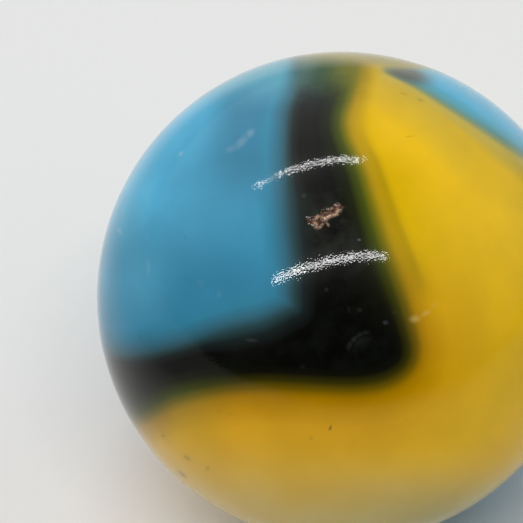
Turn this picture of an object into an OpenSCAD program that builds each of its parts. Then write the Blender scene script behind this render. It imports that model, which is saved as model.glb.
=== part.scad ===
// Toy marble of opaque glass. A black ribbon, folded back at a rounded heel, lies between
// sky-blue glass and yellow glass, and all of it is fused into one ball.
// Millimetres. The origin is the centre of the ball and +Z points up.
//
// The yellow glass is the whole ball. The ribbon and the blue glass are bodies fused into
// it, which end at the ball's surface a hair higher than the glass beside them, because
// they set first. Their edges are drawn in the face plane, which leans back from upright:
// x to the right, y up the face, and the ball's centre at the origin.

/* [Ball] */
// Diameter of the ball over the yellow glass
ball_d = 16; // [14:0.5:20]
// How far the patterned face leans back from upright, in degrees
face_lean = 40; // [0:5:80]
// How far each glass stands proud of the one that it lies in
rise = 0.01; // [0.005:0.005:0.03]

/* [Ribbon] */
// Width of the stem where it passes the middle of the face
stem_w = 2.9; // [1.5:0.1:4]
// Width of the foot where it leaves the heel
foot_w = 1.8; // [0.8:0.1:2.6]
// Distance of the heel's right side from the ball's centre line
heel_x = 2.3; // [1.6:0.1:3.2]
// Depth of the heel's underside below the ball's centre
heel_y = 2.85; // [2:0.05:3.6]
// Fall of the foot between the heel and the rim
foot_fall = 1.6; // [0:0.1:2.5]

/* [Shoulder patch] */
// Height above the centre at which the second blue patch meets the right-hand rim
patch_y = 4; // [2.5:0.1:5]

/* [Flake scar] */
// Length of the scar that runs across the stem
scar_l = 1.2; // [0.6:0.1:1.8]
// Width of the scar
scar_w = 0.4; // [0.2:0.05:0.6]
// Depth of the scar
scar_depth = 0.05; // [0.02:0.01:0.1]
// Place of the scar to the right of the centre, on the face
scar_x = -0.6; // [-1:0.1:0.2]
// Place of the scar above the centre, on the face
scar_y = 2.5; // [1:0.1:4]
// Rise of the scar to the right, in degrees
scar_turn = 30; // [0:5:90]

/* [Crescent bruise] */
// Radius of the crescent
crescent_r = 0.42; // [0.3:0.02:0.6]
// Width of the crescent at its middle
crescent_w = 0.14; // [0.06:0.01:0.2]
// Depth of the bruise at the middle of its full circle
crescent_depth = 0.06; // [0.03:0.01:0.1]
// Place of the crescent to the right of the centre, on the face
crescent_x = 0.75; // [0:0.05:1.5]
// Place of the crescent below the centre, on the face
crescent_y = -1.55; // [-2:0.05:-0.5]
// Turn of the crescent's open side from the right, in degrees
crescent_turn = -40; // [-90:5:0]

/* [Hidden] */
$fn = 144;

ball_r = ball_d / 2;
// A distance from the centre that is safely outside the ball
clear_r = 1.5 * ball_r;
// Height on the face at which the glasses run together over the top
pole_y = 0.88 * ball_r;
// Heights on the face of the foot's upper and lower side, where it leaves the heel
foot_top = foot_w - heel_y;
foot_bottom = -heel_y;

yellow = [0.90, 0.70, 0.08];
black = [0.06, 0.08, 0.07];
sky_blue = [0.27, 0.60, 0.76];
rust = [0.62, 0.42, 0.33];

// Catmull-Rom curve: the point at share t of the way from b to c
function curve_point(a, b, c, d, t) =
    b + 0.5 * ((c - a) * t + (2 * a - 5 * b + 4 * c - d) * t^2 + (3 * b - a - 3 * c + d) * t^3);

// A smooth line through all the points but the first and last, which only steer its ends
function smooth_line(points, steps = 6) = [
    for (i = [1:len(points) - 3], s = [0:steps - 1])
        curve_point(points[i - 1], points[i], points[i + 1], points[i + 2], s / steps)
];

// Outer edge of the ribbon, where it meets the yellow: down the stem, round the heel and
// along the foot to the left-hand rim
outer_edge = smooth_line([
    [0.6, clear_r + 1], [0.4, clear_r], [0.2, pole_y], [-0.1, pole_y - 1.7], [0.5, pole_y - 3.2],
    [heel_x - 1.2, 2], [heel_x - 0.3, -0.4], [heel_x, foot_bottom + 1.2],
    [heel_x - 0.5, foot_bottom + 0.4], [0.5, foot_bottom], [-2.5, foot_bottom],
    [-4.6, foot_bottom - 0.25 * foot_fall], [-6.2, foot_bottom - 0.75 * foot_fall],
    [-clear_r, foot_bottom - 3 * foot_fall], [-clear_r, -clear_r]
]);

// Inner edge of the ribbon, where it meets the blue: down the stem, round the fold and
// along the foot to the left-hand rim
inner_edge = smooth_line([
    [-1.2, clear_r + 1], [-1.3, clear_r], [-1.6, pole_y], [-1.9, pole_y - 1.6],
    [heel_x - stem_w - 1.2, 3], [heel_x - stem_w - 0.9, 0.8],
    [heel_x - 3.5, foot_top + 0.7], [heel_x - 4, foot_top + 0.35],
    [-4.2, foot_top - 0.2 * foot_fall], [-6.4, foot_top - 0.6 * foot_fall],
    [-clear_r, foot_top - 1.2 * foot_fall], [-clear_r, -clear_r]
]);

// Edge of the blue patch on the right shoulder: down from the top rim, round the patch's
// rounded tip and along its lower side to the right-hand rim
patch_edge = smooth_line([
    [3.4, clear_r + 1], [3.4, clear_r], [2.4, pole_y + 0.45], [1.3, pole_y + 0.2],
    [2.2, pole_y - 0.35], [4.3, pole_y - 1.6], [ball_r - 1.2, patch_y],
    [clear_r, patch_y - 3], [clear_r + 1, patch_y - 3]
]);

// All of the face that lies to the left of a ribbon's edge
module left_of(edge) {
    polygon(concat([[-clear_r, clear_r]], edge));
}

module shoulder_outline() {
    polygon(concat(patch_edge, [[clear_r, clear_r]]));
}

// Turns from the face plane, whose z points out of the ball, to the ball's own frame
module face_frame() {
    rotate([face_lean, 0, 0]) children();
}

// The part of a ball of radius r that lies behind an outline drawn on the face
module fused_glass(r) {
    intersection() {
        sphere(r = r);
        face_frame()
            linear_extrude(height = 2 * clear_r, center = true)
                children();
    }
}

module yellow_glass() {
    color(yellow)
        sphere(r = ball_r);
}

// The folded ribbon, which also lies under the blue glass in its fold
module black_ribbon() {
    color(black)
        fused_glass(ball_r + rise)
            left_of(outer_edge);
}

module blue_glass() {
    color(sky_blue)
        fused_glass(ball_r + 2 * rise)
            left_of(inner_edge);
}

module blue_shoulder() {
    color(sky_blue)
        fused_glass(ball_r + rise)
            shoulder_outline();
}

// Stands on the ribbon's surface at a place on the face, with z out of the ball
module on_ribbon(x, y, turn) {
    direction = atan2(y, x);
    from_middle = asin(norm([x, y]) / ball_r);
    face_frame()
        rotate([0, 0, direction])
            rotate([0, from_middle, 0])
                rotate([0, 0, turn - direction])
                    translate([0, 0, ball_r + rise])
                        children();
}

// A ball-ended bite of a given width and depth into the surface that it stands on
module bite(width, depth) {
    bite_r = (width^2 / 4 + depth^2) / (2 * depth);
    translate([0, 0, bite_r - depth])
        sphere(r = bite_r);
}

// A row of shell-shaped bites, widest and deepest in the middle
module flake_scar(bites = 3) {
    color(rust)
        on_ribbon(scar_x, scar_y, scar_turn)
            for (i = [0:bites - 1]) {
                along = 2 * i / (bites - 1) - 1;
                share = 1 - 0.2 * abs(along);
                translate([along * (scar_l - 0.8 * scar_w) / 2, 0, 0])
                    bite(scar_w * share, scar_depth * share);
            }
}

// A round bite of which only one side is left, ending at a steep curved wall
module crescent_bruise() {
    color(black)
        on_ribbon(crescent_x, crescent_y, crescent_turn)
            difference() {
                bite(2 * crescent_r, crescent_depth);
                translate([crescent_w, 0, 0])
                    cylinder(r = crescent_r, h = 4 * crescent_r, center = true);
            }
}

module marble() {
    difference() {
        union() {
            yellow_glass();
            black_ribbon();
            blue_glass();
            blue_shoulder();
        }
        flake_scar();
        crescent_bruise();
    }
}

marble();
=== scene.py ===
"""A toy marble of opaque glass on a pale table: yellow glass with a folded black ribbon,
sky-blue glass in the ribbon's fold and a second blue patch on the right shoulder.

Lengths inside the surface functions are millimetres. The face frame has x to the right, y up
the face and z straight out of it, and its origin is the ball's centre.
"""

import math

import bpy
import numpy as np
from mathutils import Matrix, Vector


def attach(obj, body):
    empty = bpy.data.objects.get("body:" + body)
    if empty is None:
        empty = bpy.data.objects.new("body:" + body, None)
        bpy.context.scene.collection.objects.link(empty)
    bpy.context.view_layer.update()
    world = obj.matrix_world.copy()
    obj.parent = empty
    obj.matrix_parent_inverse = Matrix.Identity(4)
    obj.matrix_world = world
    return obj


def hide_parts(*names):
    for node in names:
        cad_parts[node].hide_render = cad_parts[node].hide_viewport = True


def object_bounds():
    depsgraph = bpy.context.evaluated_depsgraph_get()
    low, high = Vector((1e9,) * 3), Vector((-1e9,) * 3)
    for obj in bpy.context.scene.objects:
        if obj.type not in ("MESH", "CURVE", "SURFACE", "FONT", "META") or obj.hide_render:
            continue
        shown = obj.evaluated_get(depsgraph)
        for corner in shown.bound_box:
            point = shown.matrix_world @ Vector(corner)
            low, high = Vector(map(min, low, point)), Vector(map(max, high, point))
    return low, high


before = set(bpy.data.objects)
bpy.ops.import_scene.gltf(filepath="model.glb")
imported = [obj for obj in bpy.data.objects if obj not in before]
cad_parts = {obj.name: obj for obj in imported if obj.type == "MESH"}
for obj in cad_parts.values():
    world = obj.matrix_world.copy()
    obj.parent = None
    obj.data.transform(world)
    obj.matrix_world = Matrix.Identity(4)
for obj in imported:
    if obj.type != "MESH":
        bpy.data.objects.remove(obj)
CAD_BOX = [list(corner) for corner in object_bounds()]

bl_info = {
    "name": "Fused Glass Marble",
    "version": (1, 0, 0),
    "blender": (4, 5, 0),
    "location": "View3D > Sidebar > Marble",
    "description": "Builds a toy marble of three opaque glasses fused into one ball",
    "category": "Add Mesh",
}

MM = 0.001


def tone(red, green, blue):
    """A colour given as it looks on a screen, 0 to 255, turned into the light that it reflects."""
    c = np.array([red, green, blue]) / 255
    return tuple(float(v) for v in np.where(c <= 0.04045, c / 12.92, ((c + 0.055) / 1.055) ** 2.4))


# ---------------------------------------------------------------- sizes and colours


class MarbleSizes(bpy.types.PropertyGroup):
    """Sizes of the ball and of the pattern that is fused into it."""

    ball_d: bpy.props.FloatProperty(
        name="Ball diameter", description="Across the yellow glass",
        default=0.016, min=0.014, max=0.02, unit="LENGTH")
    face_lean: bpy.props.FloatProperty(
        name="Face lean", description="How far the patterned face leans back from upright",
        default=math.radians(40), min=0, max=math.radians(80), subtype="ANGLE")
    rise: bpy.props.FloatProperty(
        name="Rise", description="How far each glass stands proud of the one that it lies in",
        default=0.00001, min=0, max=0.00003, unit="LENGTH", precision=5)
    stem_w: bpy.props.FloatProperty(
        name="Stem width", description="Width of the stem where it passes the middle of the face",
        default=0.0029, unit="LENGTH", precision=4)
    foot_w: bpy.props.FloatProperty(
        name="Foot width", description="Width of the foot where it leaves the heel",
        default=0.0018, unit="LENGTH", precision=4)
    heel_x: bpy.props.FloatProperty(
        name="Heel reach", description="Distance of the heel's right side from the centre line",
        default=0.0023, unit="LENGTH", precision=4)
    heel_y: bpy.props.FloatProperty(
        name="Heel depth", description="Depth of the heel's underside below the ball's centre",
        default=0.00285, unit="LENGTH", precision=5)
    foot_fall: bpy.props.FloatProperty(
        name="Foot fall", description="Fall of the foot between the heel and the rim",
        default=0.0016, unit="LENGTH", precision=4)
    patch_y: bpy.props.FloatProperty(
        name="Patch height", description="Height at which the shoulder patch meets the rim",
        default=0.004, unit="LENGTH", precision=4)


def colour_property(name, description, red, green, blue):
    """A colour that the user can change, its default given as it looks on a screen."""
    return bpy.props.FloatVectorProperty(
        name=name, description=description, default=tone(red, green, blue), min=0, max=1,
        subtype="COLOR")


class MarbleColours(bpy.types.PropertyGroup):
    """Colours of the three glasses, of what lies on them, and of painted reflections on them."""

    yellow: colour_property("Yellow", "The glass that the ball is made of", 248, 195, 6)
    amber: colour_property("Amber", "Yellow glass round the heel and under the foot", 208, 152, 0)
    # Painted reflection of the pale table, which pales the yellow low on the ball
    pale_table_reflection: colour_property("Underside", "Pale yellow low on the ball", 208, 186, 112)
    black: colour_property("Black", "The folded ribbon", 9, 10, 7)
    # Painted reflection: a grey haze on the black ribbon that stands in for reflected room light
    painted_ribbon_haze: colour_property("Slate", "Clouds in the ribbon", 34, 37, 32)
    blue: colour_property("Blue", "The glass in the ribbon's fold", 58, 143, 178)
    low_blue: colour_property("Low blue", "Blue glass above the foot", 50, 132, 166)
    deep_blue: colour_property("Deep blue", "Blue glass beside the stem", 49, 123, 154)
    sky: colour_property("Sky", "Blue glass away from the ribbon", 82, 178, 217)
    patch: colour_property("Patch", "Blue glass on the shoulder", 82, 178, 213)
    top: colour_property("Top", "The glasses run together over the top", 158, 142, 58)
    moss: colour_property("Moss", "Ribbon glass thinned out below the top", 62, 92, 50)
    cream: colour_property("Cream", "Pale edges of the flake scar", 212, 170, 142)
    rust: colour_property("Rust", "Hollows of the flake scar", 96, 48, 34)


class MarbleStage(bpy.types.PropertyGroup):
    """The table, the light and the camera."""

    table_w: bpy.props.FloatProperty(
        name="Table width", description="Side of the square table top",
        default=2.4, unit="LENGTH")
    table_colour: bpy.props.FloatVectorProperty(
        name="Table colour", description="Colour of the paper on the table",
        default=tone(224, 223, 222), min=0, max=1, subtype="COLOR")
    # Painted shade: the table darkens to this colour away from the marble
    far_colour: bpy.props.FloatVectorProperty(
        name="Far table colour", description="Colour of the table away from the marble",
        default=tone(150, 149, 148), min=0, max=1, subtype="COLOR")
    tube_radiance: bpy.props.FloatProperty(
        name="Tube brightness", description="Brightness of the two tube lamps",
        default=64.0, min=0)
    room_light: bpy.props.FloatProperty(
        name="Room light", description="Brightness of the room round the table",
        default=1.0, min=0)


# ---------------------------------------------------------------- the pattern's edges


def in_mm(sizes):
    """The sizes as plain numbers in millimetres, under the names that the outlines use."""
    s = {name: getattr(sizes, name) / MM for name in
         ("ball_d", "rise", "stem_w", "foot_w", "heel_x", "heel_y", "foot_fall", "patch_y")}
    s["ball_r"] = s["ball_d"] / 2
    s["clear_r"] = 1.5 * s["ball_r"]
    s["pole_y"] = 0.88 * s["ball_r"]
    s["foot_top"] = s["foot_w"] - s["heel_y"]
    s["foot_bottom"] = -s["heel_y"]
    return s


def smooth_line(points, steps=12):
    """Catmull-Rom curve through all the points but the first and last, which steer its ends.

    At share t of the way from b to c, with a before and d after them, it is
    b + ((c - a) t + (2a - 5b + 4c - d) t^2 + (3b - a - 3c + d) t^3) / 2.
    """
    p = np.asarray(points, float)
    a, b, c, d = p[:-3, None], p[1:-2, None], p[2:-1, None], p[3:, None]
    t = (np.arange(steps) / steps)[None, :, None]
    line = b + 0.5 * ((c - a) * t + (2 * a - 5 * b + 4 * c - d) * t**2
                      + (3 * b - a - 3 * c + d) * t**3)
    return line.reshape(-1, 2)


def outer_edge(s):
    """Where the ribbon meets the yellow: down the stem, round the heel, out along the foot."""
    bottom, heel, fall = s["foot_bottom"], s["heel_x"], s["foot_fall"]
    top, clear = s["pole_y"], s["clear_r"]
    return smooth_line([
        (0.6, clear + 1), (0.4, clear), (0.2, top), (-0.1, top - 1.7), (0.5, top - 3.2),
        (heel - 1.2, 2), (heel - 0.3, -0.4), (heel, bottom + 1.2),
        (heel - 0.5, bottom + 0.4), (0.5, bottom), (-2.5, bottom),
        (-4.6, bottom - 0.25 * fall), (-6.2, bottom - 0.75 * fall),
        (-clear, bottom - 3 * fall), (-clear, -clear)])


def inner_edge(s):
    """Where the ribbon meets the blue: down the stem, round the fold, out along the foot."""
    stem, over, fall = s["heel_x"] - s["stem_w"], s["foot_top"], s["foot_fall"]
    top, clear, heel = s["pole_y"], s["clear_r"], s["heel_x"]
    return smooth_line([
        (-1.2, clear + 1), (-1.3, clear), (-1.6, top), (-1.9, top - 1.6),
        (stem - 1.2, 3), (stem - 0.9, 0.8), (heel - 3.5, over + 0.7), (heel - 4, over + 0.35),
        (-4.2, over - 0.2 * fall), (-6.4, over - 0.6 * fall),
        (-clear, over - 1.2 * fall), (-clear, -clear)])


def patch_edge(s):
    """Round the shoulder patch: from the top rim, round its tip, down to the right-hand rim."""
    top, clear, low = s["pole_y"], s["clear_r"], s["patch_y"]
    return smooth_line([
        (4.6, clear), (3.4, top + 1.2), (2.4, top + 0.46), (1.3, top + 0.2),
        (2.2, top - 0.35), (4.3, top - 1.6), (s["ball_r"] - 1.2, low),
        (clear, low - 3), (clear + 1, low - 3)])


def loop_on_ball(edge, radius, spacing=0.03, samples=6000):
    """Carries an edge of the face onto the ball: z is plus and minus sqrt(r^2 - x^2 - y^2).

    The front and back copies join at the rim into one closed loop, which is then walked in
    equal steps.
    """
    fine = np.stack([np.interp(np.linspace(0, len(edge) - 1, samples), np.arange(len(edge)), e)
                     for e in edge.T], 1)
    out = np.hypot(fine[:, 0], fine[:, 1])
    on = np.flatnonzero(out < radius)
    run = fine[on[0]:on[-1] + 1]
    ends = fine[[on[0], on[-1]]] * (radius / out[[on[0], on[-1]]])[:, None]
    flat = np.vstack([ends[:1], run, ends[1:]])
    z = np.sqrt(np.clip(radius**2 - (flat**2).sum(1), 0, None))
    front = np.column_stack([flat, z])
    back = np.column_stack([flat, -z])[::-1]
    loop = np.vstack([front, back])
    step = np.linalg.norm(np.diff(loop, axis=0), axis=1)
    along = np.concatenate([[0], np.cumsum(step)])
    even = np.arange(0, along[-1], spacing)
    return np.stack([np.interp(even, along, c) for c in loop.T], 1)


def distance_to_loop(points, loop, at_once=8000, smallest=1e-12):
    """Distance from each place to the nearest point of a closed loop.

    The nearest corner comes from |p|^2 + |q|^2 - 2 p.q, and the two segments that meet
    there then give the true distance.
    """
    best = np.empty(len(points))
    after, before = np.roll(loop, -1, 0), np.roll(loop, 1, 0)
    size = (loop**2).sum(1)
    for start in range(0, len(points), at_once):
        p = points[start:start + at_once]
        near = (size[None] - 2 * p @ loop.T).argmin(1)
        d = np.full(len(p), np.inf)
        for other in (after, before):
            a, ab = loop[near], other[near] - loop[near]
            along = ((p - a) * ab).sum(1) / np.maximum((ab**2).sum(1), smallest)
            t = np.clip(along, 0, 1)
            d = np.minimum(d, np.linalg.norm(p - a - t[:, None] * ab, axis=1))
        best[start:start + at_once] = d
    return best


def encloses(outline, x, y):
    """Even-odd rule: a place is inside when a line to its right crosses the outline an odd
    number of times."""
    inside = np.zeros(x.shape, bool)
    for (x0, y0), (x1, y1) in zip(outline, np.roll(outline, -1, 0)):
        if y0 != y1:
            inside ^= ((y0 > y) != (y1 > y)) & (x < (x1 - x0) * (y - y0) / (y1 - y0) + x0)
    return inside


def signed_distance(face_points, edge, corner, radius):
    """Distance on the ball to an edge, counted below zero on the side that holds the corner."""
    away = distance_to_loop(face_points, loop_on_ball(edge, radius))
    inside = encloses(np.vstack([edge, [corner]]), face_points[:, 0], face_points[:, 1])
    return np.where(inside, -away, away)


# ---------------------------------------------------------------- the ball's surface


# Length, width, depth, place on the face and turn of the flake scar that crosses the stem
SCAR = dict(length=1.2, width=0.4, depth=0.05, x=-0.6, y=2.5, turn=30)
# How far its rim wanders in and out, as a share of its width
SCAR_FRAY = 0.22
# Radius, width, depth, place and turn of the crescent bruise above the heel
BRUISE = dict(radius=0.42, width=0.14, depth=0.06, x=0.75, y=-1.55, turn=-40)
# A mark touches nothing that lies deeper than this below its own place
MARK_REACH = 0.5
# Distance over which a glass that stands proud slopes down, on either side of its edge
EDGE_SLOPE = 0.35
# Number of waves, their length and their seed: round the scar's rim, and all over the glass
RIM_RIPPLES = (9, 0.16, 14)
GLASS_RIPPLES = (14, 2.4, 11)
RIPPLE_HEIGHT = 0.001


def smooth_step(low, high, value):
    """0 below low, 1 above high and 3t^2 - 2t^3 between them, t being the share of the way."""
    t = np.clip((value - low) / (high - low), 0, 1)
    return t * t * (3 - 2 * t)


def ring_angles(radius):
    """Angles of the grid's rings from the face's middle.

    The rings are closest in the band that holds the scar and the bruise, and widest at the
    back. Each band has its end and the spacing of its rings, measured along the surface.
    """
    rim, back = math.pi / 2 * radius, math.pi * radius
    arcs, start = [], 0.0
    for end, step in ((0.9, 0.12), (3.35, 0.034), (rim, 0.13), (back, 0.36)):
        count = max(1, round((end - start) / step))
        arcs.append(start + (end - start) * np.arange(1, count + 1) / count)
        start = end
    return np.concatenate(arcs)[:-1] / radius


def ripples(places, waves, length, seed):
    """A sum of sine waves through the ball, each with a random direction and phase, scaled so
    that it mostly lies between -1 and 1."""
    rng = np.random.default_rng(seed)
    way = rng.normal(size=(waves, 3))
    way *= (2 * math.pi / length) * rng.uniform(0.7, 1.3, (waves, 1)) / np.linalg.norm(
        way, axis=1, keepdims=True)
    phase = rng.uniform(0, 2 * math.pi, waves)
    return np.sin(places @ way.T + phase).sum(1) / math.sqrt(waves)


def place_on_face(x, y, turn, radius):
    """A frame on the ball over a place of the face: its origin, and its three axes as columns.

    The z axis is turned about y by asin(distance / radius) and then about z toward the place.
    """
    direction = math.atan2(y, x)
    tilt = math.asin(math.hypot(x, y) / radius)
    axes = (Matrix.Rotation(direction, 3, "Z") @ Matrix.Rotation(tilt, 3, "Y")
            @ Matrix.Rotation(math.radians(turn) - direction, 3, "Z"))
    axes = np.array(axes)
    return axes[:, 2] * radius, axes


def scar_cover(points, radius):
    """How deep the flake scar is, 0 to 1: the deepest of three shell-shaped bites.

    Each bite is 1 - (distance / half width)^2, its rim frayed by short ripples.
    """
    origin, axes = place_on_face(SCAR["x"], SCAR["y"], SCAR["turn"], radius)
    local = (points - origin) @ axes
    fray = 1 + SCAR_FRAY * ripples(points, *RIM_RIPPLES)
    cover = np.zeros(len(points))
    for along in (-1, 0, 1):
        share = 1 - 0.2 * abs(along)
        middle = along * (SCAR["length"] - 0.8 * SCAR["width"]) / 2
        far = np.hypot(local[:, 0] - middle, local[:, 1]) / (SCAR["width"] / 2 * share)
        cover = np.maximum(cover, share * (1 - (far * fray) ** 2))
    return np.where(local[:, 2] > -MARK_REACH, cover, 0)


def bruise_cover(points, radius):
    """How deep the crescent bruise is, 0 to 1: a round bite, left only outside a second circle."""
    origin, axes = place_on_face(BRUISE["x"], BRUISE["y"], BRUISE["turn"], radius)
    local = (points - origin) @ axes
    far = np.hypot(local[:, 0], local[:, 1]) / BRUISE["radius"]
    edge = np.hypot(local[:, 0] - BRUISE["width"], local[:, 1]) / BRUISE["radius"]
    cover = np.clip(1 - far**2, 0, 1) * smooth_step(0.8, 1.25, edge)
    return np.where(local[:, 2] > -MARK_REACH, cover, 0)


def values_per_place(face, s):
    """The distance to each edge of the pattern and how deep each mark is, at every place."""
    radius, clear = s["ball_r"], s["clear_r"]
    return {
        "outer_mm": signed_distance(face, outer_edge(s), (-clear, clear), radius),
        "inner_mm": signed_distance(face, inner_edge(s), (-clear, clear), radius),
        "patch_mm": signed_distance(face, patch_edge(s), (clear, clear), radius),
        "scar": np.clip(scar_cover(face, radius), 0, 1),
        "bruise": bruise_cover(face, radius),
    }


def ring_faces(rings, segments):
    """The faces of a ball whose places are one pole, the rings one after another, and the
    other pole: a fan round each pole and four-sided faces between the rings."""
    index = 1 + np.arange(rings * segments).reshape(rings, segments)
    right = np.roll(index, -1, 1)
    quads = np.stack([index[:-1], index[1:], right[1:], right[:-1]], -1).reshape(-1, 4)
    last = rings * segments + 1
    front = np.stack([np.zeros(segments, int), index[0], right[0]], -1)
    back = np.stack([np.full(segments, last), right[-1], index[-1]], -1)
    return front.tolist() + quads.tolist() + back.tolist()


def ball_surface(s, lean, segments=512):
    """The ball as rings round the face's middle: r (sin a cos b, sin a sin b, cos a), where a
    is the ring's angle and b runs round it, with r raised by the proud glasses and lowered by
    the two marks. Returns places in the ball's frame, faces and the values kept per place."""
    a = ring_angles(s["ball_r"])
    b = np.arange(segments) * (2 * math.pi / segments)
    ring = np.stack([np.outer(np.sin(a), np.cos(b)), np.outer(np.sin(a), np.sin(b)),
                     np.repeat(np.cos(a)[:, None], segments, 1)], -1).reshape(-1, 3)
    way = np.vstack([[0, 0, 1], ring, [0, 0, -1]])
    face = way * s["ball_r"]
    values = values_per_place(face, s)
    proud = sum(smooth_step(-EDGE_SLOPE, EDGE_SLOPE, -values[key])
                for key in ("outer_mm", "inner_mm", "patch_mm"))
    height = s["rise"] * proud + RIPPLE_HEIGHT * ripples(face, *GLASS_RIPPLES)
    height -= SCAR["depth"] * values["scar"] + BRUISE["depth"] * values["bruise"]
    turn = np.array(Matrix.Rotation(lean, 3, "X"))
    places = (way * (s["ball_r"] + height)[:, None]) @ turn.T
    return places, ring_faces(len(a), segments), values


def put_in_mesh(name, places, faces, values):
    """A smooth mesh object from places in millimetres, with one float attribute per value."""
    mesh = bpy.data.meshes.new(name)
    mesh.from_pydata((places * MM).tolist(), [], faces)
    mesh.polygons.foreach_set("use_smooth", np.ones(len(mesh.polygons), bool))
    for key, value in values.items():
        mesh.attributes.new(key, "FLOAT", "POINT").data.foreach_set(
            "value", np.ascontiguousarray(value, np.float32))
    mesh.update()
    piece = bpy.data.objects.new(name, mesh)
    bpy.context.scene.collection.objects.link(piece)
    return piece


# ---------------------------------------------------------------- nodes


def node(tree, kind, inputs=(), **settings):
    """Adds a node, sets it, and feeds each named or numbered input with a value or a socket."""
    made = tree.nodes.new(kind)
    for key, value in settings.items():
        setattr(made, key, value)
    for key, value in dict(inputs).items():
        if isinstance(value, bpy.types.NodeSocket):
            tree.links.new(value, made.inputs[key])
        else:
            made.inputs[key].default_value = value
    return made


def new_material(name):
    """A material that has no nodes yet. Returns it with its node tree."""
    made = bpy.data.materials.new(name)
    made.use_nodes = True
    made.node_tree.nodes.clear()
    return made, made.node_tree


def maths(tree, operation, *values):
    """One sum on numbers or sockets, such as ADD or MULTIPLY."""
    return node(tree, "ShaderNodeMath", enumerate(values), operation=operation).outputs[0]


def product(tree, *values):
    """All the values multiplied together."""
    made = values[0]
    for value in values[1:]:
        made = maths(tree, "MULTIPLY", made, value)
    return made


def distance_from(tree, place, point):
    """How far each place is from one point."""
    return node(tree, "ShaderNodeVectorMath", {0: place, 1: point},
                operation="DISTANCE").outputs["Value"]


def fade(tree, value, low, high, start=0.0, end=1.0):
    """A smooth change from start to end while the value goes from low to high."""
    return node(tree, "ShaderNodeMapRange",
                {"Value": value, "From Min": low, "From Max": high, "To Min": start,
                 "To Max": end}, interpolation_type="SMOOTHSTEP").outputs[0]


def mix(tree, factor, under, over, how="MIX"):
    """One colour over another, as far as the factor says."""
    made = node(tree, "ShaderNodeMix", data_type="RGBA", blend_type=how)
    for key, value in ((0, factor), (6, under), (7, over)):
        if isinstance(value, bpy.types.NodeSocket):
            tree.links.new(value, made.inputs[key])
        else:
            made.inputs[key].default_value = value if key == 0 else (*value[:3], 1)
    return made.outputs[2]


def ramp(tree, value, stops):
    """A colour ramp over real distances: stops are (millimetres, colour)."""
    low, high = stops[0][0], stops[-1][0]
    share = node(tree, "ShaderNodeMapRange", {"Value": value, "From Min": low, "From Max": high})
    made = node(tree, "ShaderNodeValToRGB", {0: share.outputs[0]})
    elements = made.color_ramp.elements
    while len(elements) < len(stops):
        elements.new(0.5)
    for element, (place, colour) in zip(elements, stops):
        element.position = (place - low) / (high - low)
        element.color = (*colour[:3], 1)
    return made.outputs[0]


def named_ramp(tree, value, stops, colours):
    """A colour ramp in which some of the stops name one of the marble's colours."""
    return ramp(tree, value, [
        (place, getattr(colours, colour) if isinstance(colour, str) else colour)
        for place, colour in stops])


def attribute(tree, name):
    """One of the values that the mesh keeps per place."""
    return node(tree, "ShaderNodeAttribute", attribute_name=name).outputs["Fac"]


def noise(tree, place, scale, detail=2.0, roughness=0.5):
    """Noise about 0.5. The scale is about how many bumps lie along one unit of the place."""
    return node(tree, "ShaderNodeTexNoise",
                {"Vector": place, "Scale": scale, "Detail": detail, "Roughness": roughness}
                ).outputs["Fac"]


# ---------------------------------------------------------------- the glass


# The fades and ramps of this section run over a place on the face or the distance to an edge,
# in millimetres, or else over a noise, which lies between 0 and 1. The distances are below zero
# on the ribbon's side of its outer edge, in the blue glass and in the shoulder patch.

# Colours through the ribbon's edge, from the black glass out to the yellow: beside the stem, and
# round the heel and under the foot
STEM_EDGE = (
    (-0.9, "black"), (-0.5, tone(30, 35, 15)), (-0.2, tone(70, 80, 20)), (0, tone(125, 115, 20)),
    (0.2, tone(180, 145, 20)), (0.8, tone(225, 180, 0)), (2, "yellow"),
)
FOOT_EDGE = (
    (-0.6, "black"), (-0.4, tone(20, 20, 10)), (-0.2, tone(60, 55, 10)), (0, tone(120, 95, 5)),
    (0.2, tone(180, 130, 0)), (0.5, "amber"), (1, tone(235, 175, 0)), (2.4, tone(245, 190, 0)),
)
# Colours from the blue glass through its teal edge into the ribbon's black
BLUE_EDGE = (
    (-0.6, tone(50, 130, 160)), (-0.2, tone(50, 105, 125)), (0.1, tone(40, 70, 75)),
    (0.4, tone(25, 35, 35)), (0.8, "black"),
)
# Colours from the shoulder patch out to the yellow
PATCH_EDGE = (
    (-1, "patch"), (-0.4, tone(95, 165, 180)), (-0.1, tone(110, 150, 140)),
    (0.1, tone(150, 155, 105)), (0.3, tone(200, 175, 80)), (0.8, tone(210, 175, 55)),
    (2.6, tone(230, 185, 30)), (3.4, "yellow"),
)

FLOW_LINE = tone(176, 142, 8)
UPPER_YELLOW = tone(232, 186, 28)
LEFT_BLUE = tone(76, 156, 190)
LEFT_PALE_BLUE = tone(112, 184, 210)
UPPER_BLUE = tone(106, 176, 194)
PATCH_TIP_GREY = tone(102, 103, 91)
STEM_TOP_TEAL = tone(78, 114, 104)
STEM_TOP_OLIVE = tone(118, 112, 22)
# Painted reflection of the table's shadow, which greys the ball low on the right
SHADED_TABLE_REFLECTION = tone(182, 172, 108)
SCUFF_AND_GLINT_WHITE = tone(196, 208, 206)
AMBER_SCUFF = tone(236, 204, 120)
SPECK = tone(70, 50, 14)
BARED_GLASS = tone(118, 80, 62)
BRUISED_GLASS = tone(120, 124, 116)

# Middles of what lies round one place of the ball, in the face frame
FOLD_CORNER = (-1.0, -0.5, 7.9)
PATCH_TIP = (1.8, 7.1, 3.0)
RIBBON_POLE = (1.1, 7.9, 0)
# Blue glass low on the right at the back. It doesn't show from the front, but it tints the
# shadow there.
HIDDEN_BLUE = (4.4, -4.9, -4.6)

# Pits per millimetre in the glass, and how deep they seem, in metres
PIT_SCALE = 18
PIT_DEPTH = 0.0000016
# Breaks per millimetre in the outlines of the marks, and how far they reach
FRAY_SCALE = 9
FRAY = 0.07
# Half the height of a mark, straight out of the face. It is more than the ball curves under
# any mark, and keeps the marks off the far side.
MARK_HALF_HEIGHT = 3
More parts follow.
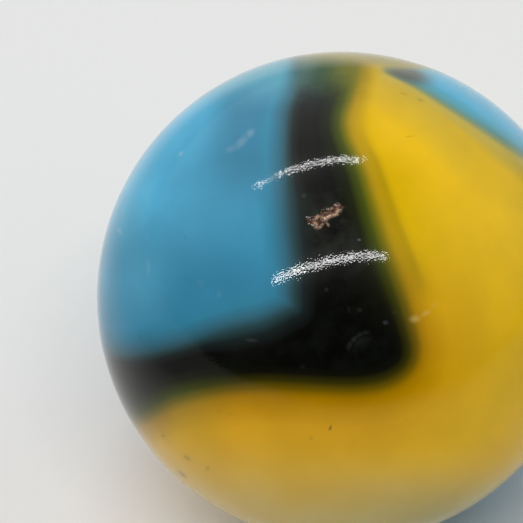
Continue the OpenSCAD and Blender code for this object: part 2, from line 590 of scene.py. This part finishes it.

# Marks that lie on the glass. Each has a place on the face, half its length and width, its turn
# and its strength.
# Pale scuffs and scratches, with a few painted glints among them: pale dots that stand in for the
# lamps' light caught by tiny bumps
PALE_SCUFFS_AND_GLINTS = (
    (-3.28, 4.72, 0.42, 0.20, 48, 0.15), (-3.60, 4.50, 0.30, 0.18, 20, 0.10),
    (-3.02, 5.00, 0.26, 0.19, 50, 0.17), (-5.22, 4.36, 0.17, 0.10, 40, 0.24),
    (-6.08, 0.75, 0.10, 0.40, 4, 0.08), (-4.35, 0.31, 0.18, 0.18, 0, 0.03),
    (-3.78, -0.02, 0.10, 0.16, -12, 0.06), (-7.15, 1.90, 0.24, 0.09, -50, 0.20),
    (-1.86, 0.64, 0.12, 0.16, 0, 0.25), (1.32, -0.73, 0.13, 0.11, 0, 0.05),
    (0.53, -0.37, 0.13, 0.11, 0, 0.02), (0.20, -0.37, 0.09, 0.17, 6, 0.01),
    (0.45, 1.75, 0.08, 0.05, -20, 0.17), (-1.15, -2.15, 0.15, 0.13, 0, 0.008),
    (-0.50, 0.21, 0.09, 0.11, 0, 0.025), (-1.27, 3.06, 0.11, 0.09, 0, 0.04),
    (-2.74, -1.39, 0.30, 0.09, -4, 0.03), (1.56, -0.43, 0.15, 0.09, 40, 0.01),
    (3.90, 6.60, 0.36, 0.20, -30, 0.12), (3.55, 6.95, 0.30, 0.14, -30, 0.22),
    (0.25, -1.45, 0.11, 0.23, -20, 0.022), (0.38, -1.27, 0.11, 0.20, -40, 0.030),
    (0.55, -1.13, 0.19, 0.10, 35, 0.024), (0.72, -1.06, 0.19, 0.10, 10, 0.020),
    (0.64, -1.32, 0.40, 0.28, 20, 0.009),
)
AMBER_MARKS = (
    (2.20, -0.60, 0.26, 0.17, 8, 0.38), (2.54, -0.42, 0.24, 0.13, 33, 0.30),
    (2.80, -0.16, 0.20, 0.08, 40, 0.16),
)
BROWN_MARKS = (
    (-0.27, -4.02, 0.11, 0.07, 60, 0.8), (-0.25, -3.96, 0.06, 0.10, 0, 0.5),
    (-0.84, -4.36, 0.12, 0.09, 0, 0.18), (-5.56, -4.55, 0.14, 0.07, 20, 0.30),
    (-4.77, -5.21, 0.22, 0.10, -30, 0.38), (-4.97, -5.81, 0.30, 0.11, -35, 0.50),
    (-6.62, -3.30, 0.12, 0.16, -10, 0.12), (-3.42, 4.90, 0.12, 0.10, 0, 0.12),
    (-4.09, -5.50, 0.14, 0.12, 60, 0.25), (-3.69, -3.63, 0.22, 0.05, 15, 0.16),
    (-3.40, -3.70, 0.16, 0.05, -10, 0.14), (1.71, 6.43, 0.20, 0.05, -10, 0.25),
    (1.91, 5.02, 0.20, 0.035, 12, 0.32), (2.26, 6.25, 0.16, 0.07, -20, 0.30),
    (-4.89, 1.71, 0.07, 0.07, 0, 0.30), (-6.29, -1.41, 0.06, 0.08, -20, 0.35),
    (-2.06, 2.83, 0.04, 0.12, 0, 0.20), (0.71, -4.17, 0.05, 0.05, 0, 0.10),
)
# The same for the flake scar, over its middle and along its own turn
SCAR_CREAM = (
    (-0.41, -0.15, 0.12, 0.18, 0, 0.8), (-0.27, -0.24, 0.17, 0.09, 12, 0.7),
    (-0.26, 0.04, 0.22, 0.09, 8, 0.7), (-0.10, -0.10, 0.13, 0.17, 20, 0.75),
    (0.08, -0.08, 0.20, 0.13, 15, 0.8), (0.28, -0.14, 0.24, 0.11, -4, 0.8),
    (0.40, -0.08, 0.11, 0.14, 0, 0.8), (0.22, 0.08, 0.18, 0.06, -10, 0.7),
    (0.43, 0.08, 0.13, 0.055, -34, 0.7), (-0.08, -0.30, 0.07, 0.12, 10, 0.5),
)
SCAR_RUST = (
    (-0.28, -0.10, 0.12, 0.08, 10, 0.9), (0.24, -0.03, 0.16, 0.05, 0, 0.8),
)


def new_group(name, inputs, outputs):
    """A node group with named sockets. Returns it with its own inputs and outputs."""
    tree = bpy.data.node_groups.new(name, "ShaderNodeTree")
    for label, kind, default in inputs:
        tree.interface.new_socket(label, in_out="INPUT", socket_type=kind).default_value = default
    for label, kind in outputs:
        tree.interface.new_socket(label, in_out="OUTPUT", socket_type=kind)
    return (tree, tree.nodes.new("NodeGroupInput").outputs,
            tree.nodes.new("NodeGroupOutput").inputs)


def mark_group():
    """One soft mark: 1 at its middle and 0 at its half length and half width, times its
    strength."""
    number, vector = "NodeSocketFloat", "NodeSocketVector"
    tree, given, out = new_group(
        "surface_mark",
        [("Place", vector, (0, 0, 0)), ("Middle", vector, (0, 0, 0)), ("Turn", number, 0),
         ("Half Size", vector, (1, 1, 1)), ("Strength", number, 1)],
        [("Mask", number)])
    aside = node(tree, "ShaderNodeVectorMath", {0: given["Place"], 1: given["Middle"]},
                 operation="SUBTRACT").outputs[0]
    back = maths(tree, "MULTIPLY", given["Turn"], -1)
    turned = node(tree, "ShaderNodeVectorRotate", {"Vector": aside, "Angle": back},
                  rotation_type="Z_AXIS").outputs[0]
    share = node(tree, "ShaderNodeVectorMath", {0: turned, 1: given["Half Size"]},
                 operation="DIVIDE").outputs[0]
    far = node(tree, "ShaderNodeVectorMath", {0: share}, operation="LENGTH").outputs["Value"]
    mask = maths(tree, "MULTIPLY", fade(tree, far, 0.0, 1, 1, 0), given["Strength"])
    tree.links.new(mask, out["Mask"])
    return tree


def marks(tree, group, place, listed, radius, middle=(0, 0), turn=0.0):
    """The strongest of the listed marks at each place. Their places and turns are measured
    from a middle on the face and from a turn of their own."""
    most = None
    c, s = math.cos(turn), math.sin(turn)
    for x, y, half_length, half_width, angle, strength in listed:
        u, v = middle[0] + c * x - s * y, middle[1] + s * x + c * y
        depth = math.sqrt(max(radius**2 - u**2 - v**2, 0))
        mark = node(tree, "ShaderNodeGroup", node_tree=group)
        tree.links.new(place, mark.inputs["Place"])
        mark.inputs["Middle"].default_value = (u, v, depth)
        mark.inputs["Turn"].default_value = math.radians(angle) + turn
        mark.inputs["Half Size"].default_value = (half_length, half_width, MARK_HALF_HEIGHT)
        mark.inputs["Strength"].default_value = strength
        most = mark.outputs[0] if most is None else maths(tree, "MAXIMUM", most, mark.outputs[0])
    return most


class Face:
    """What the parts of the glass material share: the node tree, the marble's colours, the
    place on the face in millimetres, the distance to each edge and two noises."""

    def __init__(self, tree, colours, lean):
        self.tree, self.colours = tree, colours
        where = node(tree, "ShaderNodeTexCoord").outputs["Object"]
        metres = node(tree, "ShaderNodeVectorRotate", {"Vector": where, "Angle": -lean},
                      rotation_type="X_AXIS").outputs[0]
        self.place = node(tree, "ShaderNodeVectorMath", {0: metres, "Scale": 1 / MM},
                          operation="SCALE").outputs[0]
        self.x, self.y, self.z = node(tree, "ShaderNodeSeparateXYZ", {0: self.place}).outputs
        self.outer = attribute(tree, "outer_mm")
        self.inner = attribute(tree, "inner_mm")
        self.patch = attribute(tree, "patch_mm")
        self.broad = noise(tree, self.place, 0.45, 3)
        self.fine = noise(tree, self.place, 1.7, 4, 0.6)

    def across(self, low, high, start=0.0, end=1.0):
        """A change that goes by the place's x on the face."""
        return fade(self.tree, self.x, low, high, start, end)

    def up(self, low, high, start=0.0, end=1.0):
        """A change that goes by the place's y, up the face."""
        return fade(self.tree, self.y, low, high, start, end)


def yellow_glass(face):
    """The yellow glass with the ribbon's outer edge: greener beside the stem and toward the
    foot's end, browner round the heel, with a faint flow line beside the stem and a paler upper
    part. Low on the ball the yellow pales: a painted reflection of the pale table."""
    tree, colours = face.tree, face.colours
    # The edge is softer low on the face, but sharper at the heel's right side
    outside = maths(tree, "DIVIDE", face.outer, face.up(5, 0.5, 1, 1.28))
    heel = product(tree, face.across(1.2, 2.0), face.up(0.6, -0.3), face.up(-2.6, -1.8),
                   fade(tree, face.outer, 0.0, 0.5, 0, 0.13))
    outside = maths(tree, "ADD", outside, heel)
    greener = maths(tree, "MAXIMUM", face.up(-1.2, 2.2), face.across(-2.8, -5.0, 0, 0.7))
    yellow = mix(tree, greener, named_ramp(tree, outside, FOOT_EDGE, colours),
                 named_ramp(tree, outside, STEM_EDGE, colours))
    line = product(tree, fade(tree, outside, 0.2, 0.48), fade(tree, outside, 0.5, 0.68, 1, 0),
                   face.up(-0.6, 1.2), face.up(5.6, 4.2), 0.6)
    yellow = mix(tree, line, yellow, FLOW_LINE)
    # Painted reflection of the pale table: the yellow pales toward the bottom of the ball
    low = product(tree, face.up(-4.2, -7.7), fade(tree, face.broad, 0.2, 0.8, 0.7, 1.15))
    yellow = mix(tree, low, yellow, colours.pale_table_reflection)
    high = product(tree, face.up(3.4, 5.2, 0, 0.8), fade(tree, outside, 0.6, 1.4))
    return mix(tree, high, yellow, UPPER_YELLOW)


def blue_glass(face):
    """The blue glass with its edge to the ribbon: brighter away from the ribbon and up the
    face, deeper beside the stem and above the foot, and paler at the left rim and the top."""
    tree, colours = face.tree, face.colours
    # The edge is sharper high up and far left. Above the foot the ribbon reaches a little
    # further into the blue, and it rounds the fold's corner.
    narrow = maths(tree, "ADD", face.up(2.6, 4.6, 1, 1.8), face.across(-3.2, -4.8, 0, 0.8))
    inside = maths(tree, "MAXIMUM", product(tree, face.inner, narrow), face.inner)
    fold = product(tree, face.across(-4.8, -3.2), face.up(1.0, -0.2, 0, 0.13))
    corner = fade(tree, distance_from(tree, face.place, FOLD_CORNER), 1.7, 0.2, 0, 0.24)
    inside = maths(tree, "ADD", inside, maths(tree, "ADD", fold, corner))

    spread = maths(tree, "ADD", inside, face.up(3.2, 6.0, 0.4, -0.9))
    blue = mix(tree, face.up(0.2, 1.8), colours.low_blue, colours.blue)
    sky = product(tree, fade(tree, spread, -2.0, -5.3), face.up(-0.6, 3.6))
    blue = mix(tree, sky, blue, colours.sky)
    left = product(tree, face.across(-4.6, -6.6), face.up(2.6, 0.6), face.up(-1.4, 0.4, 0.3, 1))
    blue = mix(tree, left, blue, LEFT_BLUE)
    pale = product(tree, face.across(-5.6, -7.2), face.up(0.6, 2.6, 0, 0.4))
    blue = mix(tree, pale, blue, LEFT_PALE_BLUE)
    stem = product(tree, fade(tree, inside, -3.2, -1.5), face.up(2.2, 4.2), face.up(7.0, 5.8))
    blue = mix(tree, stem, blue, colours.deep_blue)
    blue = mix(tree, fade(tree, inside, -1.0, -0.55), blue,
               named_ramp(tree, inside, BLUE_EDGE, colours))
    upper = product(tree, face.up(5.6, 7.4, 0, 0.8), fade(tree, inside, 0.1, -0.7, 0.1, 1))
    return mix(tree, upper, blue, UPPER_BLUE)


def with_painted_haze(face, colour):
    """Grey painted haze in the middle of the ribbon, most of all across the stem's lower half: it
    stands in for the room's light reflected in the black glass.
    """
    tree = face.tree
    cloud_and_haze = product(tree, fade(tree, face.outer, -0.3, -0.9), fade(tree, face.inner, 0.2, 0.9),
                    fade(tree, face.fine, 0.3, 0.7), face.up(0.1, 1.6, 0.2, 1),
                    face.up(3.8, 2.5, 0.2, 1))
    return mix(tree, cloud_and_haze, colour, face.colours.painted_ribbon_haze)


def with_shoulder_patch(face, colour):
    """The second blue patch with its pale surround in the yellow, which widens to the right,
    and the grey of its tip."""
    tree = face.tree
    widen = face.across(1.4, 6.4, 0.85, 1.4)
    beside = maths(tree, "DIVIDE", maths(tree, "MAXIMUM", face.patch, 0), widen)
    beside = maths(tree, "ADD", beside, maths(tree, "MINIMUM", face.patch, 0))
    beside = maths(tree, "SUBTRACT", beside, 0.06)
    surround = product(tree, fade(tree, beside, 3.3, 2.1), face.across(2.4, 4.6, 1, 0.15))
    near = maths(tree, "MAXIMUM", fade(tree, beside, 1.3, 0.5), surround)
    near = product(tree, near, fade(tree, face.outer, 0.35, 0.95))
    edge = named_ramp(tree, beside, PATCH_EDGE, face.colours)
    tip = product(tree, fade(tree, distance_from(tree, face.place, PATCH_TIP), 1.2, 0.3),
                  fade(tree, beside, 0.4, -0.1), 0.95)
    return mix(tree, near, colour, mix(tree, tip, edge, PATCH_TIP_GREY))


def with_run_together_top(face, colour):
    """The top of the ball, where the stem thins out to green, teal and olive and the glasses
    run together."""
    tree, colours = face.tree, face.colours
    ragged = maths(tree, "ADD", face.y, fade(tree, face.fine, 0.25, 0.75, -0.15, 0.15))
    green = product(tree, fade(tree, ragged, 5.9, 7.7), fade(tree, face.outer, 0.2, -0.5),
                    fade(tree, face.inner, -0.5, 0.2))
    moss = mix(tree, fade(tree, face.inner, 0.8, 0.1), colours.moss, STEM_TOP_TEAL)
    colour = mix(tree, green, colour, moss)
    olive = product(tree, face.across(-0.9, 0.1), face.across(1.1, 0.1),
                    fade(tree, ragged, 5.9, 7.5, 0, 0.85))
    colour = mix(tree, olive, colour, STEM_TOP_OLIVE)
    run = maths(tree, "ADD", distance_from(tree, face.place, RIBBON_POLE),
                fade(tree, face.broad, 0.2, 0.8, -0.4, 0.4))
    behind = maths(tree, "ADD", face.z, fade(tree, face.broad, 0.3, 0.7, -1.3, 1.0))
    cap = product(tree, fade(tree, run, 3.8, 2.2), fade(tree, face.patch, -0.35, 0.15),
                  fade(tree, behind, -2.8, 0.4))
    return mix(tree, cap, colour, colours.top)


def with_far_side(face, colour):
    """The hidden blue patch, a painted reflection of the shaded table that greys the lower right
    of the ball, and clouds over it all.
    """
    tree = face.tree
    hidden = distance_from(tree, face.place, HIDDEN_BLUE)
    colour = mix(tree, fade(tree, hidden, 4.6, 3.9), colour, face.colours.blue)
    # Painted reflection of the shaded table, low on the right of the ball
    painted_reflection_low_right = product(tree, face.across(-1.5, 3.5), face.up(-5.0, -7.4, 0, 0.8))
    colour = mix(tree, painted_reflection_low_right, colour, SHADED_TABLE_REFLECTION)
    cloud_and_haze = fade(tree, face.broad, 0.25, 0.75, 0.93, 1.06)
    grey = node(tree, "ShaderNodeCombineColor", {0: cloud_and_haze, 1: cloud_and_haze, 2: cloud_and_haze}).outputs[0]
    return mix(tree, 1.0, colour, grey, "MULTIPLY")


def with_marks(face, colour, radius):
    """The pale scuffs with a few painted glints among them, the specks, the flake scar and the
    crescent bruise, their outlines frayed by a noise.
    """
    tree, colours = face.tree, face.colours
    jolt = node(tree, "ShaderNodeTexNoise", {
        "Vector": face.place, "Scale": FRAY_SCALE, "Detail": 2}).outputs["Color"]
    jolt = node(tree, "ShaderNodeVectorMath", {0: jolt, 1: (-0.5, -0.5, -0.5)},
                operation="ADD").outputs[0]
    frayed = node(tree, "ShaderNodeVectorMath", {0: jolt, 1: (FRAY, FRAY, 0), 2: face.place},
                  operation="MULTIPLY_ADD").outputs[0]
    group = mark_group()
    # The pale marks are scuffs, and a few of them are painted glints
    for listed, tint in ((PALE_SCUFFS_AND_GLINTS, SCUFF_AND_GLINT_WHITE), (AMBER_MARKS, AMBER_SCUFF), (BROWN_MARKS, SPECK)):
        colour = mix(tree, marks(tree, group, frayed, listed, radius), colour, tint)
    at, turn = (SCAR["x"], SCAR["y"]), math.radians(SCAR["turn"])
    cream = marks(tree, group, frayed, SCAR_CREAM, radius, at, turn)
    flakes = fade(tree, noise(tree, face.place, FRAY_SCALE, 1), 0.38, 0.56, 0.2, 1)
    cream = product(tree, cream, flakes)
    rust = marks(tree, group, frayed, SCAR_RUST, radius, at, turn)
    bared = fade(tree, attribute(tree, "scar"), 0.0, 0.3, 0, 0.35)
    colour = mix(tree, bared, colour, BARED_GLASS)
    colour = mix(tree, cream, colour, colours.cream)
    colour = mix(tree, rust, colour, colours.rust)
    bruised = product(tree, attribute(tree, "bruise"), 0.05)
    return mix(tree, bruised, colour, BRUISED_GLASS)


def marble_material(colours, lean, radius):
    """Opaque glass, its colour set by the distance to each edge of the pattern, with very fine
    pits that break up what it reflects."""
    made, tree = new_material("fused_glass")
    face = Face(tree, colours, lean)
    blue, yellow = blue_glass(face), yellow_glass(face)
    beyond_ribbon = fade(tree, maths(tree, "ADD", face.inner, face.outer), -0.3, 0.3)
    colour = mix(tree, beyond_ribbon, blue, yellow)
    colour = with_painted_haze(face, colour)
    colour = with_shoulder_patch(face, colour)
    colour = with_run_together_top(face, colour)
    colour = with_far_side(face, colour)
    colour = with_marks(face, colour, radius)
    pits = node(tree, "ShaderNodeBump", {
        "Height": noise(tree, face.place, PIT_SCALE, 0, 0.5), "Strength": 1.0,
        "Distance": PIT_DEPTH})
    glass = node(tree, "ShaderNodeBsdfPrincipled", {
        "Base Color": colour, "Roughness": fade(tree, face.fine, 0.3, 0.75, 0.025, 0.05),
        "IOR": 1.5, "Specular IOR Level": 0.2, "Coat Weight": 0.04, "Coat Roughness": 0.22,
        "Normal": pits.outputs[0]})
    node(tree, "ShaderNodeOutputMaterial", {"Surface": glass.outputs[0]})
    return made


# ---------------------------------------------------------------- light, table and camera


# Height of the tube lamps over the ball, in metres
LAMP_Z = 2.0
# Places that each tube lamp runs through, with its width and its share of the brightness from
# there on
BACK_TUBE = (
    (-1.58, 0.79, 0.05, 0.60), (-1.40, 0.812, 0.040, 0.24), (-1.05, 0.83, 0.038, 1.05),
    (-0.30, 0.95, 0.040, 1.05), (0.28, 1.02, 0, 0),
)
FRONT_TUBE = (
    (-1.38, -1.26, 0.10, 0.55), (-0.78, -1.045, 0.085, 0.60), (-0.30, -0.88, 0.072, 0.66),
    (0.30, -0.77, 0.072, 0.62), (0.79, -0.71, 0, 0),
)
BLACK = (0, 0, 0)
# Glows of the room: azimuth from the back toward the right and elevation, both in degrees,
# cosine of the angle at which the glow ends, and colour
ROOM_GLOWS = (
    (0, 15, 0.5, (0.11, 0.11, 0.11)),
    (45, 15, 0.5, (0.25, 0.29, 0.30)),
    (90, 15, 0.5, (0.24, 0.46, 0.56)),
    (100, 52, 0.6, (0.22, 0.16, 0.12)),
    (315, 15, 0.5, (0.57, 0.57, 0.56)),
    (262, 44, 0.62, (0.52, 0.51, 0.50)),
    (320, 44, 0.62, (0.46, 0.46, 0.46)),
)
CAMERA_ELEVATION = math.radians(50)
CAMERA_DISTANCE = 0.110
# How far to the right of the ball's middle and above it the camera looks, across its view
CAMERA_AIM = (-0.0026852, 0.0010884)
# The camera's focal length and the width of its sensor, in millimetres
CAMERA_LENS = 231.76
CAMERA_SENSOR = 36
# Distances from the marble at which the table starts and ends to darken, all round and on its
# left side, in metres. The darkening is painted shade.
DARKER_ROUND = (0.03, 0.2)
DARKER_LEFT = (-0.0128, -0.035)
# Fibres per metre of the paper, and how deep they seem
FIBRES = 2500
FIBRE_DEPTH = 0.0001
# Room between the ball and the table, which keeps them from touching
TABLE_GAP = 0.00001


def aim(thing, place, target, along=None):
    """Puts a lamp or camera at a place, looking at a target. The side that its x axis takes is
    level, or as near as can be to the direction along."""
    z = (Vector(place) - Vector(target)).normalized()
    if along is None:
        x = Vector((0, 0, 1)).cross(z).normalized()
    else:
        x = (Vector(along) - z * z.dot(Vector(along))).normalized()
    turn = Matrix((x, z.cross(x), z)).transposed()
    thing.matrix_world = Matrix.Translation(place) @ turn.to_4x4()


def tube_lamp(name, places, radiance):
    """Straight strips of light from place to place, turned toward the ball. The power of each
    is pi times its radiance times its area."""
    for (x0, y0, width, share), (x1, y1, *_) in zip(places, places[1:]):
        start, end = Vector((x0, y0, LAMP_Z)), Vector((x1, y1, LAMP_Z))
        lamp = bpy.data.lights.new(name, "AREA")
        lamp.shape = "RECTANGLE"
        lamp.size, lamp.size_y = (end - start).length, width
        lamp.energy = math.pi * share * radiance * lamp.size * width
        thing = bpy.data.objects.new(name, lamp)
        bpy.context.scene.collection.objects.link(thing)
        aim(thing, (start + end) / 2, (0, 0, 0), end - start)


def room_world(strength):
    """The room as a soft sky: a few broad glows in the dark, each of which fades out smoothly
    round its own direction."""
    world = bpy.data.worlds.new("room")
    world.use_nodes = True
    tree = world.node_tree
    tree.nodes.clear()
    way = node(tree, "ShaderNodeTexCoord").outputs["Generated"]
    light = BLACK
    for azimuth, elevation, reach, colour in ROOM_GLOWS:
        a, e = math.radians(azimuth), math.radians(elevation)
        axis = (math.sin(a) * math.cos(e), math.cos(a) * math.cos(e), math.sin(e))
        near = node(tree, "ShaderNodeVectorMath", {0: way, 1: axis},
                    operation="DOT_PRODUCT").outputs["Value"]
        light = mix(tree, fade(tree, near, reach, 1), light, colour, "ADD")
    sky = node(tree, "ShaderNodeBackground", {"Color": light, "Strength": strength})
    node(tree, "ShaderNodeOutputWorld", {"Surface": sky.outputs[0]})
    return world


def paper_material(near_colour, far_colour):
    """Matt paper, pale round the ball and darker away from it, soonest on the left, with a faint
    grain of fibres. The darkening is painted shade, which also dims what the ball reflects."""
    made, tree = new_material("table_paper")
    where = node(tree, "ShaderNodeTexCoord").outputs["Object"]
    far = node(tree, "ShaderNodeVectorMath", {0: where}, operation="LENGTH").outputs["Value"]
    colour = mix(tree, fade(tree, far, *DARKER_ROUND), near_colour, far_colour)
    left = node(tree, "ShaderNodeSeparateXYZ", {0: where}).outputs["X"]
    colour = mix(tree, fade(tree, left, *DARKER_LEFT), colour, far_colour)
    grain = node(tree, "ShaderNodeBump", {
        "Height": noise(tree, where, FIBRES, 4), "Strength": 0.15, "Distance": FIBRE_DEPTH})
    shader = node(tree, "ShaderNodeBsdfPrincipled", {
        "Base Color": colour, "Roughness": 0.9, "Normal": grain.outputs[0]})
    node(tree, "ShaderNodeOutputMaterial", {"Surface": shader.outputs[0]})
    return made


# ---------------------------------------------------------------- operators and panel


class MESH_OT_fused_marble(bpy.types.Operator):
    """Build the glass ball with the pattern that is fused into it"""

    bl_idname = "mesh.fused_marble"
    bl_label = "Glass Marble"

    def execute(self, context):
        sizes = context.scene.marble_sizes
        places, faces, values = ball_surface(in_mm(sizes), sizes.face_lean)
        ball = put_in_mesh("glass_ball", places, faces, values)
        ball.data.materials.append(marble_material(
            context.scene.marble_colours, sizes.face_lean, sizes.ball_d / MM / 2))
        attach(ball, "root")
        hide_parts("marble")
        return {"FINISHED"}


class SCENE_OT_marble_stage(bpy.types.Operator):
    """Lay the pale table, hang the two tube lamps and set up the camera"""

    bl_idname = "scene.marble_stage"
    bl_label = "Table, Light and Camera"

    def execute(self, context):
        stage = context.scene.marble_stage
        half, low = stage.table_w / 2, CAD_BOX[0][2] - TABLE_GAP
        mesh = bpy.data.meshes.new("table")
        mesh.from_pydata([(-half, -half, low), (half, -half, low), (half, half, low),
                          (-half, half, low)], [], [(0, 1, 2, 3)])
        table = bpy.data.objects.new("table", mesh)
        context.scene.collection.objects.link(table)
        mesh.materials.append(paper_material(stage.table_colour, stage.far_colour))

        tube_lamp("back_tube", BACK_TUBE, stage.tube_radiance)
        tube_lamp("front_tube", FRONT_TUBE, stage.tube_radiance)
        context.scene.world = room_world(stage.room_light)

        eye = bpy.data.cameras.new("camera")
        eye.lens, eye.sensor_width = CAMERA_LENS, CAMERA_SENSOR
        eye.clip_start, eye.clip_end = 0.005, 5
        camera = bpy.data.objects.new("camera", eye)
        context.scene.collection.objects.link(camera)
        e = CAMERA_ELEVATION
        aside, above = CAMERA_AIM
        aim(camera, Vector((0, -math.cos(e), math.sin(e))) * CAMERA_DISTANCE,
            (aside, above * math.sin(e), above * math.cos(e)))
        context.scene.camera = camera
        context.scene.view_settings.view_transform = "Standard"
        return {"FINISHED"}


class VIEW3D_PT_marble(bpy.types.Panel):
    """Sizes, colours and stage of the marble"""

    bl_label = "Marble"
    bl_space_type = "VIEW_3D"
    bl_region_type = "UI"
    bl_category = "Marble"

    def draw(self, context):
        for group in ("marble_sizes", "marble_colours", "marble_stage"):
            box = self.layout.box()
            values = getattr(context.scene, group)
            for key in values.__annotations__:
                box.prop(values, key)
        self.layout.operator(MESH_OT_fused_marble.bl_idname)
        self.layout.operator(SCENE_OT_marble_stage.bl_idname)


CLASSES = (MarbleSizes, MarbleColours, MarbleStage, MESH_OT_fused_marble, SCENE_OT_marble_stage,
           VIEW3D_PT_marble)


def register():
    """Registers the classes, and gives every scene its sizes, colours and stage."""
    for item in CLASSES:
        bpy.utils.register_class(item)
    bpy.types.Scene.marble_sizes = bpy.props.PointerProperty(type=MarbleSizes)
    bpy.types.Scene.marble_colours = bpy.props.PointerProperty(type=MarbleColours)
    bpy.types.Scene.marble_stage = bpy.props.PointerProperty(type=MarbleStage)


def unregister():
    """Takes back what register did."""
    del bpy.types.Scene.marble_sizes, bpy.types.Scene.marble_colours, bpy.types.Scene.marble_stage
    for item in reversed(CLASSES):
        bpy.utils.unregister_class(item)


def main():
    """Builds the marble and its stage."""
    register()
    bpy.ops.mesh.fused_marble()
    bpy.ops.scene.marble_stage()


if __name__ == "__main__":
    main()
